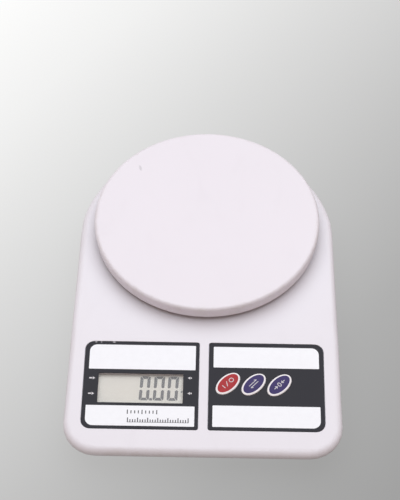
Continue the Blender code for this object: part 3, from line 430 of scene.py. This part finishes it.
CASING_WHITE = (0.756, 0.732, 0.783)
PLATTER_WHITE = (0.763, 0.726, 0.779)
FINISHES = {
    "upper_casing": moulded("casing_abs", CASING_WHITE, 0.42, marks=casing_marks),
    "lower_casing": moulded("base_abs", shade(CASING_WHITE, 0.97), 0.55, 3000.0, 0.00002),
    "weighing_platter": moulded("platter_abs", PLATTER_WHITE, 0.40, marks=platter_marks),
    "inner_plastic": moulded("natural_abs", (0.70, 0.70, 0.665), 0.58, 2200.0, 0.00002),
    "rubber": rubber(),
    "printed_panel": film("charcoal_film", (0.0205, 0.020, 0.0265)),
    "clear_lens": clear_lens(),
    "display_glass": display_glass(),
    "red_key": key_film("red_key_film", (0.40, 0.018, 0.024), "power"),
    "black_plastic": insulation("black_nylon", (0.02, 0.02, 0.021), 0.42),
    "tinned_steel": metal("tinned_sheet", (0.66, 0.66, 0.66), 0.34, (1.0, 0.08, 1.0)),
    "circuit_board": board(),
    "epoxy": insulation("black_epoxy", (0.010, 0.010, 0.011), 0.2),
    "aluminium": metal("milled_aluminium", (0.78, 0.78, 0.79), 0.36, (1.0, 0.06, 0.06), 1400.0),
    "sealant": insulation("white_silicone", (0.74, 0.74, 0.72), 0.42),
    "zinc_screw": metal("zinc_plate", (0.60, 0.60, 0.585), 0.33, (0.3, 0.3, 1.0), 1600.0),
    "nickel": metal("nickel_plate", (0.72, 0.70, 0.655), 0.24, (1.0, 0.2, 0.2), 1200.0),
    "battery_wrap": battery_wrap(),
    "red_wire": insulation("red_pvc", (0.45, 0.02, 0.02)),
    "black_wire": insulation("black_pvc", (0.018, 0.018, 0.018)),
    "grey_wire": insulation("grey_pvc", (0.28, 0.28, 0.285)),
}
VIOLET = (0.036, 0.022, 0.125)
VIOLET_KEYS = {f"key_{k}": key_film(f"violet_key_film_{k}", VIOLET, k) for k in ("mode", "tare")}
WHITE_INK = ink("white_ink", (0.855, 0.865, 0.905), 0.42)
PALE_INK = ink("pale_ink", (0.62, 0.60, 0.63))
GREY_INK = ink("grey_ink", (0.075, 0.07, 0.08))
SEGMENT_INK = ink("segment_dye", (0.105, 0.106, 0.115))


def finish_nodes():
    """Gives every CAD node the finish of its slot, and each violet key its own."""
    for name, node in NODES.items():
        slot = node.data.materials[0].name.split(".")[0]
        paint = VIOLET_KEYS.get(name) or FINISHES[slot]
        node.data.materials.clear()
        node.data.materials.append(paint.material)
        smooth(node)


def smooth(thing):
    """Welds the loose triangles of an imported mesh, then shades its curves smooth and its edges crisp."""
    thing.data.shade_smooth()
    weld = thing.modifiers.new("Weld", "WELD")
    weld.merge_threshold = WELD_DISTANCE
    split = thing.modifiers.new("Crisp", "EDGE_SPLIT")
    split.split_angle = CRISP_ANGLE
    split.use_edge_sharp = False
    weighted = thing.modifiers.new("Weighted", "WEIGHTED_NORMAL")
    weighted.weight = FACE_WEIGHT


# Pieces, in millimetres on the deck

MITRE_LIMIT = 0.35
INK_LOW, INK_HIGH = -0.03, 0.035
HALF_PRINT = 0.02


def flat(x, v):
    return 0.0


class Piece:
    """A mesh of closed solids drawn on the deck, riding on one body."""

    def __init__(self, name, paint, body, slot):
        self.name, self.paint, self.body, self.slot = name, paint, body, slot
        self.bm = bmesh.new()

    def sheet(self, rows, low, high, lift=flat):
        """A closed slab under rows of (x, v) points, from w = low to high above the lifted surface."""
        layers = []
        for w in (low, high):
            layers.append([[self.bm.verts.new(deck(x, v, w + lift(x, v))) for x, v in row] for row in rows])
        below, above = layers
        last_row, last = len(rows) - 1, len(rows[0]) - 1
        for r in range(last_row):
            for c in range(last):
                top = (above[r][c], above[r][c + 1], above[r + 1][c + 1], above[r + 1][c])
                base = (below[r][c], below[r + 1][c], below[r + 1][c + 1], below[r][c + 1])
                self.bm.faces.new(top)
                self.bm.faces.new(base)
        edge = [(0, c) for c in range(last)] + [(r, last) for r in range(last_row)]
        edge += [(last_row, c) for c in range(last, 0, -1)] + [(r, 0) for r in range(last_row, 0, -1)]
        for (r, c), (s, d) in zip(edge, edge[1:] + edge[:1]):
            self.bm.faces.new((above[r][c], below[r][c], below[s][d], above[s][d]))

    def slab(self, outline, low, high, lift=flat):
        """A closed prism over a convex outline of (x, v) points."""
        below = [self.bm.verts.new(deck(x, v, low + lift(x, v))) for x, v in outline]
        above = [self.bm.verts.new(deck(x, v, high + lift(x, v))) for x, v in outline]
        self.bm.faces.new(above)
        self.bm.faces.new(below[::-1])
        for i in range(len(outline)):
            j = (i + 1) % len(outline)
            self.bm.faces.new((below[i], below[j], above[j], above[i]))

    def stroke(self, points, width, low, high, lift=flat, closed=False):
        """A ribbon of constant width along a line, mitred at its corners."""
        points = [Vector(p) for p in points]
        count = len(points)
        left, right = [], []
        for i, point in enumerate(points):
            before = points[i - 1] if closed or i else None
            after = points[(i + 1) % count] if closed or i < count - 1 else None
            ways = [(b - a).normalized() for a, b in ((before, point), (point, after)) if a and b]
            heading = sum(ways, Vector((0, 0))).normalized()
            mitre = max(heading.dot(ways[0]), MITRE_LIMIT)
            side = Vector((-heading.y, heading.x)) * (width / 2 / mitre)
            left.append(tuple(point + side))
            right.append(tuple(point - side))
        if not closed:
            self.sheet([right, left], low, high, lift)
            return
        rings = []
        for line, w in ((left, high), (right, high), (right, low), (left, low)):
            rings.append([self.bm.verts.new(deck(x, v, w + lift(x, v))) for x, v in line])
        for a, b in zip(rings, rings[1:] + rings[:1]):
            for i in range(count):
                j = (i + 1) % count
                self.bm.faces.new((a[i], a[j], b[j], b[i]))

    def done(self):
        """Turns the drawn solids into an object with its finish and body."""
        bmesh.ops.recalc_face_normals(self.bm, faces=self.bm.faces)
        mesh = bpy.data.meshes.new(self.name)
        self.bm.to_mesh(mesh)
        self.bm.free()
        mesh.materials.append(self.paint.material)
        thing = bpy.data.objects.new(self.name, mesh)
        bpy.context.scene.collection.objects.link(thing)
        smooth(thing)
        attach(thing, self.body)


def rounded(low, high, radii, steps=7):
    """A rectangle's outline with its corner radii from the lower left, anticlockwise."""
    corners = (
        (low[0], low[1], 1, 1),
        (high[0], low[1], -1, 1),
        (high[0], high[1], -1, -1),
        (low[0], high[1], 1, -1),
    )
    points = []
    for i, ((x, y, inward_x, inward_y), radius) in enumerate(zip(corners, radii)):
        centre_x, centre_y = x + inward_x * radius, y + inward_y * radius
        for k in range(steps + 1):
            angle = math.pi / 2 * (k / steps + i) + math.pi
            points.append((centre_x + radius * math.cos(angle), centre_y + radius * math.sin(angle)))
    return points


def ring(centre, radii, steps=28):
    """An ellipse's outline."""
    turns = [2 * math.pi * i / steps for i in range(steps)]
    return [(centre[0] + radii[0] * math.cos(t), centre[1] + radii[1] * math.sin(t)) for t in turns]


def along(start, end, steps=10):
    """Points spread evenly from start to end."""
    a, b = Vector(start), Vector(end)
    return [tuple(a.lerp(b, i / steps)) for i in range(steps + 1)]


def make_fields():
    """The four white fields of the printed panels, rounded at the outer corners."""
    fields = {
        "display_field_rear": ((-68.8, -27.8), (-5.05, -10.95), (0.4, 0.4, 0.4, 4.4)),
        "display_field_front": ((-69.2, -65.75), (-5.1, -52.4), (4.6, 0.4, 0.4, 0.4)),
        "keypad_field_rear": ((5.7, -25.6), (68.8, -11.3), (0.4, 0.4, 4.4, 0.4)),
        "keypad_field_front": ((5.5, -65.55), (69.0, -51.4), (0.4, 4.6, 0.4, 0.4)),
    }
    for name, (low, high, radii) in fields.items():
        piece = Piece(name, WHITE_INK, "casing", "printed_panel")
        piece.slab(rounded(low, high, radii), INK_LOW, INK_HIGH)
        piece.done()


# Pointers beside the display: middle across, middle up the deck, the way it points, length.
POINTERS = (
    (-66.4, -34.1, 1, 3.6),
    (-66.5, -44.6, 1, 3.6),
    (-8.3, -33.2, -1, 2.4),
    (-8.2, -43.6, -1, 2.6),
)
POINTER_HEAD = 1.5
POINTER_HEAD_HALF = 0.95
POINTER_GAP = 0.3
POINTER_BAR = 0.9


def make_pointers():
    """Small generic pointers beside the display: a bar and an arrowhead aimed at the glass."""
    piece = Piece("unit_pointers", PALE_INK, "casing", "printed_panel")
    for x, v, way, length in POINTERS:
        tip, back = x + way * length / 2, x - way * length / 2
        base = tip - way * POINTER_HEAD
        head = [(tip, v), (base, v + POINTER_HEAD_HALF), (base, v - POINTER_HEAD_HALF)]
        piece.slab(head, INK_LOW, INK_HIGH)
        bar = [(back, v), (base - way * POINTER_GAP, v)]
        piece.stroke(bar, POINTER_BAR, INK_LOW, INK_HIGH)
    piece.done()


# Rows of graduations: how many, the first one's place, pitch, half a short one's length, width.
UPPER_TICKS = (9, -44.5, 2.16, 1.0, 0.6)
UPPER_TICKS_MIDDLE = -56.55
LOWER_TICKS = (25, -44.2, 1.48, 0.85, 0.62)
LOWER_TICKS_FOOT = -63.15
LONG_TICK_EVERY = 4
LONG_TICK_HALF = 1.4
BASE_LINE = ((-44.5, -63.3), (-8.4, -63.3))
BASE_LINE_WIDTH = 0.3


def ticks(count, first, pitch, short_half, width):
    """Place across, half length and width of each tick in a row."""
    for i in range(count):
        half = LONG_TICK_HALF if i % LONG_TICK_EVERY == 0 else short_half
        yield first + i * pitch, half, width


def make_graduations():
    """Two rows of plain graduations on the front field, where a scale prints its range."""
    low, high = INK_HIGH - HALF_PRINT, INK_HIGH + HALF_PRINT
    piece = Piece("range_graduations", GREY_INK, "casing", "printed_panel")
    for x, half, width in ticks(*UPPER_TICKS):
        tick = [(x, UPPER_TICKS_MIDDLE - half), (x, UPPER_TICKS_MIDDLE + half)]
        piece.stroke(tick, width, low, high)
    for x, half, width in ticks(*LOWER_TICKS):
        tick = [(x, LOWER_TICKS_FOOT), (x, LOWER_TICKS_FOOT + 2 * half)]
        piece.stroke(tick, width, low, high)
    piece.stroke(BASE_LINE, BASE_LINE_WIDTH, low, high)
    piece.done()


def crown(which):
    """Height of a key's domed surface above the deck at (x, v)."""
    centre = Vector(KEY_CENTRES[which])
    turn = Matrix.Rotation(-KEY_TURN, 2)

    def lift(x, v):
        s, t = turn @ (Vector((x, v)) - centre)
        share = math.hypot(s / KEY_AXES[0], t / KEY_AXES[1])
        for (a, low), (b, high) in zip(KEY_CROWN, KEY_CROWN[1:]):
            if share <= b:
                return low + (high - low) * (share - a) / (b - a)
        return KEY_CROWN[-1][1]

    return lift


LEGEND_WIDTH = 0.42


def make_legends():
    """A plain symbol on each key, in pale ink: on and off, swap, and back to zero."""
    legends = {
        "power": [
            ([(-3.5, -1.3), (-3.5, 1.3)], False),
            ([(-1.7, -1.45), (0.2, 1.45)], False),
            (ring((2.9, 0.0), (1.35, 1.25)), True),
        ],
        "mode": [
            ([(-3.1, 0.75), (3.1, 0.75)], False),
            ([(1.9, 1.65), (3.1, 0.75)], False),
            ([(3.1, -0.75), (-3.1, -0.75)], False),
            ([(-1.9, -1.65), (-3.1, -0.75)], False),
        ],
        "tare": [
            ([(-4.4, 0.0), (-1.9, 0.0)], False),
            ([(-2.9, 0.9), (-1.9, 0.0), (-2.9, -0.9)], False),
            (ring((0.0, 0.0), (0.85, 1.3)), True),
            ([(4.4, 0.0), (1.9, 0.0)], False),
            ([(2.9, 0.9), (1.9, 0.0), (2.9, -0.9)], False),
        ],
    }
    for which, strokes in legends.items():
        turn, centre = Matrix.Rotation(KEY_TURN, 2), Vector(KEY_CENTRES[which])
        slot = "red_key" if which == "power" else "violet_key"
        piece = Piece(f"key_legend_{which}", PALE_INK, f"key_{which}", slot)
        for points, closed in strokes:
            if not closed:
                points = [p for a, b in zip(points, points[1:]) for p in along(a, b)[:-1]] + [points[-1]]
            placed = [tuple(centre + turn @ Vector(p)) for p in points]
            piece.stroke(placed, LEGEND_WIDTH, INK_LOW, INK_HIGH, crown(which), closed)
        piece.done()


# The display's digits: heights up the deck, each one's left and right edge, and its segments' sizes.
DIGIT_TOP, DIGIT_MIDDLE, DIGIT_BOTTOM = -31.0, -39.6, -47.35
DIGIT_EDGES = ((-38.1, -32.0), (-29.75, -23.4), (-21.45, -15.1))
DIGIT_LEAN = math.tan(math.radians(2.6))
SEGMENT_HALF = 0.92
SEGMENT_GAP = 0.16
SEGMENT_BEVEL = 0.75
BAR_CLEARANCE = 0.05
WAIST_GAP = 0.5
WAIST_OUTER, WAIST_INNER = 0.5, 0.8
CORNER_ACROSS, CORNER_DOWN = 0.6, 0.2
DECIMAL_DOT = ((-32.1, -47.35), (-30.4, -47.35), (-30.35, -45.7), (-32.05, -45.7))
UNIT_ARROW = ((-13.9, -41.3), (-12.5, -42.1), (-12.5, -40.5))


def bar_segment(left, right, level, inward):
    """The top or bottom segment of a digit; inward is the way to the digit's middle."""
    inner = level + inward * 2 * SEGMENT_HALF
    bevel = SEGMENT_BEVEL + SEGMENT_GAP
    reach = 2 * SEGMENT_HALF + BAR_CLEARANCE
    return [(left + bevel, level), (right - bevel, level), (right - reach, inner), (left + reach, inner)]


def side_segment(edge, across, level, inward):
    """One of the four upright segments of a digit; across is the way to the digit's middle."""
    inner = level + inward * 2 * SEGMENT_HALF
    waist = DIGIT_MIDDLE - inward * WAIST_GAP
    inner_edge = edge + across * 2 * SEGMENT_HALF
    return [
        (edge, level + inward * SEGMENT_BEVEL),
        (edge, waist - inward * WAIST_OUTER),
        (edge + across * SEGMENT_HALF, waist),
        (inner_edge, waist - inward * WAIST_INNER),
        (inner_edge, inner + inward * SEGMENT_GAP),
        (edge + across * CORNER_ACROSS, level + inward * CORNER_DOWN),
    ]


def lean_over(outline):
    return [(x + (v - DIGIT_MIDDLE) * DIGIT_LEAN, v) for x, v in outline]


def make_digits():
    """The display's segments: 0.00 and the unit arrow, as dark dye on the glass."""
    low, high = LCD_TOP - HALF_PRINT, LCD_TOP + HALF_PRINT
    piece = Piece("display_digits", SEGMENT_INK, "casing", "display_glass")
    for left, right in DIGIT_EDGES:
        for level, inward in ((DIGIT_TOP, -1), (DIGIT_BOTTOM, 1)):
            piece.slab(lean_over(bar_segment(left, right, level, inward)), low, high)
            for edge, across in ((left, 1), (right, -1)):
                piece.slab(lean_over(side_segment(edge, across, level, inward)), low, high)
    piece.slab(DECIMAL_DOT, low, high)
    piece.slab(UNIT_ARROW, low, high)
    piece.done()


# The battery door's grip, in millimetres: the ribs from the door's front edge, the arrow from the first rib.
RIB_COUNT = 5
RIB_PITCH = 1.9
RIB_HALF = 9
RIB_WIDTH = 0.8
RIB_START = 6.5
RIB_SLOPE = 0.25
ARROW_START = 11.5
ARROW_HALF = 3.2
ARROW_LENGTH = 4.2
GRIP_SUNK = 0.3
GRIP_RAISED = 0.5


def make_door_grip():
    """Raised finger ribs and an arrow on the underside of the battery door."""
    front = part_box("battery_door")[0].y / MM + RIB_START
    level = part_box("lower_casing")[0].z
    piece = Piece("door_grip_ribs", FINISHES["lower_casing"], "door", "lower_casing")

    def bar(points):
        base = [piece.bm.verts.new((x * MM, y * MM, level + GRIP_SUNK * MM)) for x, y in points]
        centre = sum((Vector(p) for p in points), Vector((0, 0))) / len(points)
        tips = [tuple(Vector(p) + (centre - Vector(p)).normalized() * RIB_SLOPE) for p in points]
        crest = [piece.bm.verts.new((x * MM, y * MM, level - GRIP_RAISED * MM)) for x, y in tips]
        piece.bm.faces.new(base)
        piece.bm.faces.new(crest[::-1])
        for i in range(len(points)):
            j = (i + 1) % len(points)
            piece.bm.faces.new((base[j], base[i], crest[i], crest[j]))

    for i in range(RIB_COUNT):
        y = front + i * RIB_PITCH
        bar([(-RIB_HALF, y), (RIB_HALF, y), (RIB_HALF, y + RIB_WIDTH), (-RIB_HALF, y + RIB_WIDTH)])
    y = front + ARROW_START
    bar([(-ARROW_HALF, y), (ARROW_HALF, y), (0, y + ARROW_LENGTH)])
    piece.done()


# Stage


# How much of the floor's brightness is its own light, and the colour far off.
GLOW = 0.9
PALE = (0.84, 0.84, 0.835)
FLOOR_REACH = 1.6

# The floor's painted fall-off of light: where it starts, which way it runs, how far, and its brightness on
# the way.
FADE_ORIGIN = (-0.15, 0.2, 0)
FADE_TURN = Matrix.Rotation(math.radians(-38.6), 3, "Z")
FADE_SPAN = (-0.05, 0.42)
FADE_STOPS = ((0.0, 0.96), (0.18, 0.86), (0.40, 0.69), (0.62, 0.53), (0.80, 0.41), (1.0, 0.335))
FADE_TINT = (1, 1.003, 0.998)
FAR_SPAN = (0.45, 1.3)

KEY_PLACE = Vector((0.0, 0.4, 1.5))
KEY_SIZE = 2.6
KEY_POWER = 28.2
KEY_COLOUR = (0.96, 1.07, 1.14)
FILL_COLOUR = (1, 0.77, 0.67)
FILL_STRENGTH = 0.445

CAMERA_AZIMUTH = math.radians(1.042)
CAMERA_ELEVATION = math.radians(52.955)
CAMERA_ROLL = math.radians(0.083)
CAMERA_DISTANCE = 0.9989
CAMERA_TARGET = Vector((-0.004078, 0.026769, 0.026))
SENSOR_HEIGHT = 36
LENS = 114.06


def paper_tone(paint):
    """Pale paper with a painted fall-off of light, darker along one diagonal, that turns into the wall's
    colour far off.
    """
    fade = paint.add("ShaderNodeValToRGB")
    while len(fade.color_ramp.elements) < len(FADE_STOPS):
        fade.color_ramp.elements.new(0.5)
    for element, (position, value) in zip(fade.color_ramp.elements, FADE_STOPS):
        element.position = position
        element.color = (*shade(FADE_TINT, value), 1)
    local = paint.place(FADE_ORIGIN, FADE_TURN)
    # Painted fall-off of light across the floor.
    paint.link(paint.ramp(paint.axis("X", local), *FADE_SPAN), fade.inputs["Fac"])
    grain = paint.ramp(paint.noise(700.0, 3.0), 0.3, 0.7, 0.0, 0.02)
    tone = paint.mix(grain, fade.outputs["Color"], (0.3, 0.3, 0.3))
    return paint.mix(paint.ramp(paint.length(paint.coords), *FAR_SPAN), tone, PALE)


def light_from_within(paint, tone):
    """Splits a tone between the surface's colour and its own light."""
    rest = paint.add("ShaderNodeHueSaturation")
    rest.inputs["Value"].default_value = 1 - GLOW
    paint.link(tone, rest.inputs["Color"])
    paint.colour(rest.outputs["Color"])
    paint.link(tone, paint.shader.inputs["Emission Color"])
    paint.shader.inputs["Emission Strength"].default_value = GLOW


def clear_from_behind(paint):
    """Makes a surface see-through from its back."""
    pick = paint.add("ShaderNodeMixShader")
    clear = paint.add("ShaderNodeBsdfTransparent")
    paint.link(paint.add("ShaderNodeNewGeometry").outputs["Backfacing"], pick.inputs["Fac"])
    paint.link(paint.shader.outputs["BSDF"], pick.inputs[1])
    paint.link(clear.outputs["BSDF"], pick.inputs[2])
    paint.link(pick.outputs["Shader"], paint.tree.nodes["Material Output"].inputs["Surface"])


def make_stage():
    """A floor of paper lit mostly from within, like a light table, so shadows stay faint.

    It is clear from underneath, which leaves the feet and the battery door in sight.
    """
    reach = FLOOR_REACH
    corners = [(-reach, -reach, 0), (reach, -reach, 0), (reach, reach, 0), (-reach, reach, 0)]
    mesh = bpy.data.meshes.new("floor")
    mesh.from_pydata(corners, [], [(0, 1, 2, 3)])
    floor = bpy.data.objects.new("floor", mesh)
    bpy.context.scene.collection.objects.link(floor)
    paint = Paint("backdrop_paper", 0.9)
    light_from_within(paint, paper_tone(paint))
    clear_from_behind(paint)
    mesh.materials.append(paint.material)


def make_key_light():
    """One large soft light overhead, aimed at the origin."""
    data = bpy.data.lights.new("key", "AREA")
    data.shape = "DISK"
    data.size = KEY_SIZE
    data.energy = KEY_POWER
    data.color = KEY_COLOUR
    light = bpy.data.objects.new("key", data)
    bpy.context.scene.collection.objects.link(light)
    light.location = KEY_PLACE
    light.rotation_mode = "QUATERNION"
    light.rotation_quaternion = (-KEY_PLACE).to_track_quat("-Z", "Y")


def make_world():
    """A warm fill from all round, which the camera sees as a plain pale wall."""
    world = bpy.data.worlds.new("studio")
    world.use_nodes = True
    nodes, links = world.node_tree.nodes, world.node_tree.links
    fill = nodes["Background"]
    fill.inputs["Color"].default_value = (*FILL_COLOUR, 1)
    fill.inputs["Strength"].default_value = FILL_STRENGTH
    wall = nodes.new("ShaderNodeBackground")
    wall.inputs["Color"].default_value = (*PALE, 1)
    ray = nodes.new("ShaderNodeLightPath")
    pick = nodes.new("ShaderNodeMixShader")
    links.new(ray.outputs["Is Camera Ray"], pick.inputs["Fac"])
    links.new(fill.outputs["Background"], pick.inputs[1])
    links.new(wall.outputs["Background"], pick.inputs[2])
    links.new(pick.outputs["Shader"], nodes["World Output"].inputs["Surface"])
    bpy.context.scene.world = world


def make_camera():
    """A long lens from above the front, looking down on the scale."""
    level = math.cos(CAMERA_ELEVATION)
    back = Vector((
        math.sin(CAMERA_AZIMUTH) * level,
        -math.cos(CAMERA_AZIMUTH) * level,
        math.sin(CAMERA_ELEVATION),
    ))
    right = Vector((math.cos(CAMERA_AZIMUTH), math.sin(CAMERA_AZIMUTH), 0))
    turn = Matrix((right, back.cross(right), back)).transposed() @ Matrix.Rotation(CAMERA_ROLL, 3, "Z")
    data = bpy.data.cameras.new("camera")
    data.sensor_fit = "VERTICAL"
    data.sensor_height = SENSOR_HEIGHT
    data.lens = LENS
    camera = bpy.data.objects.new("camera", data)
    bpy.context.scene.collection.objects.link(camera)
    camera.matrix_world = Matrix.Translation(CAMERA_TARGET + back * CAMERA_DISTANCE) @ turn.to_4x4()
    bpy.context.scene.camera = camera


finish_nodes()
make_fields()
make_pointers()
make_graduations()
make_legends()
make_digits()
make_door_grip()
make_stage()
make_key_light()
make_world()
make_camera()
bpy.context.scene.view_settings.view_transform = "Standard"
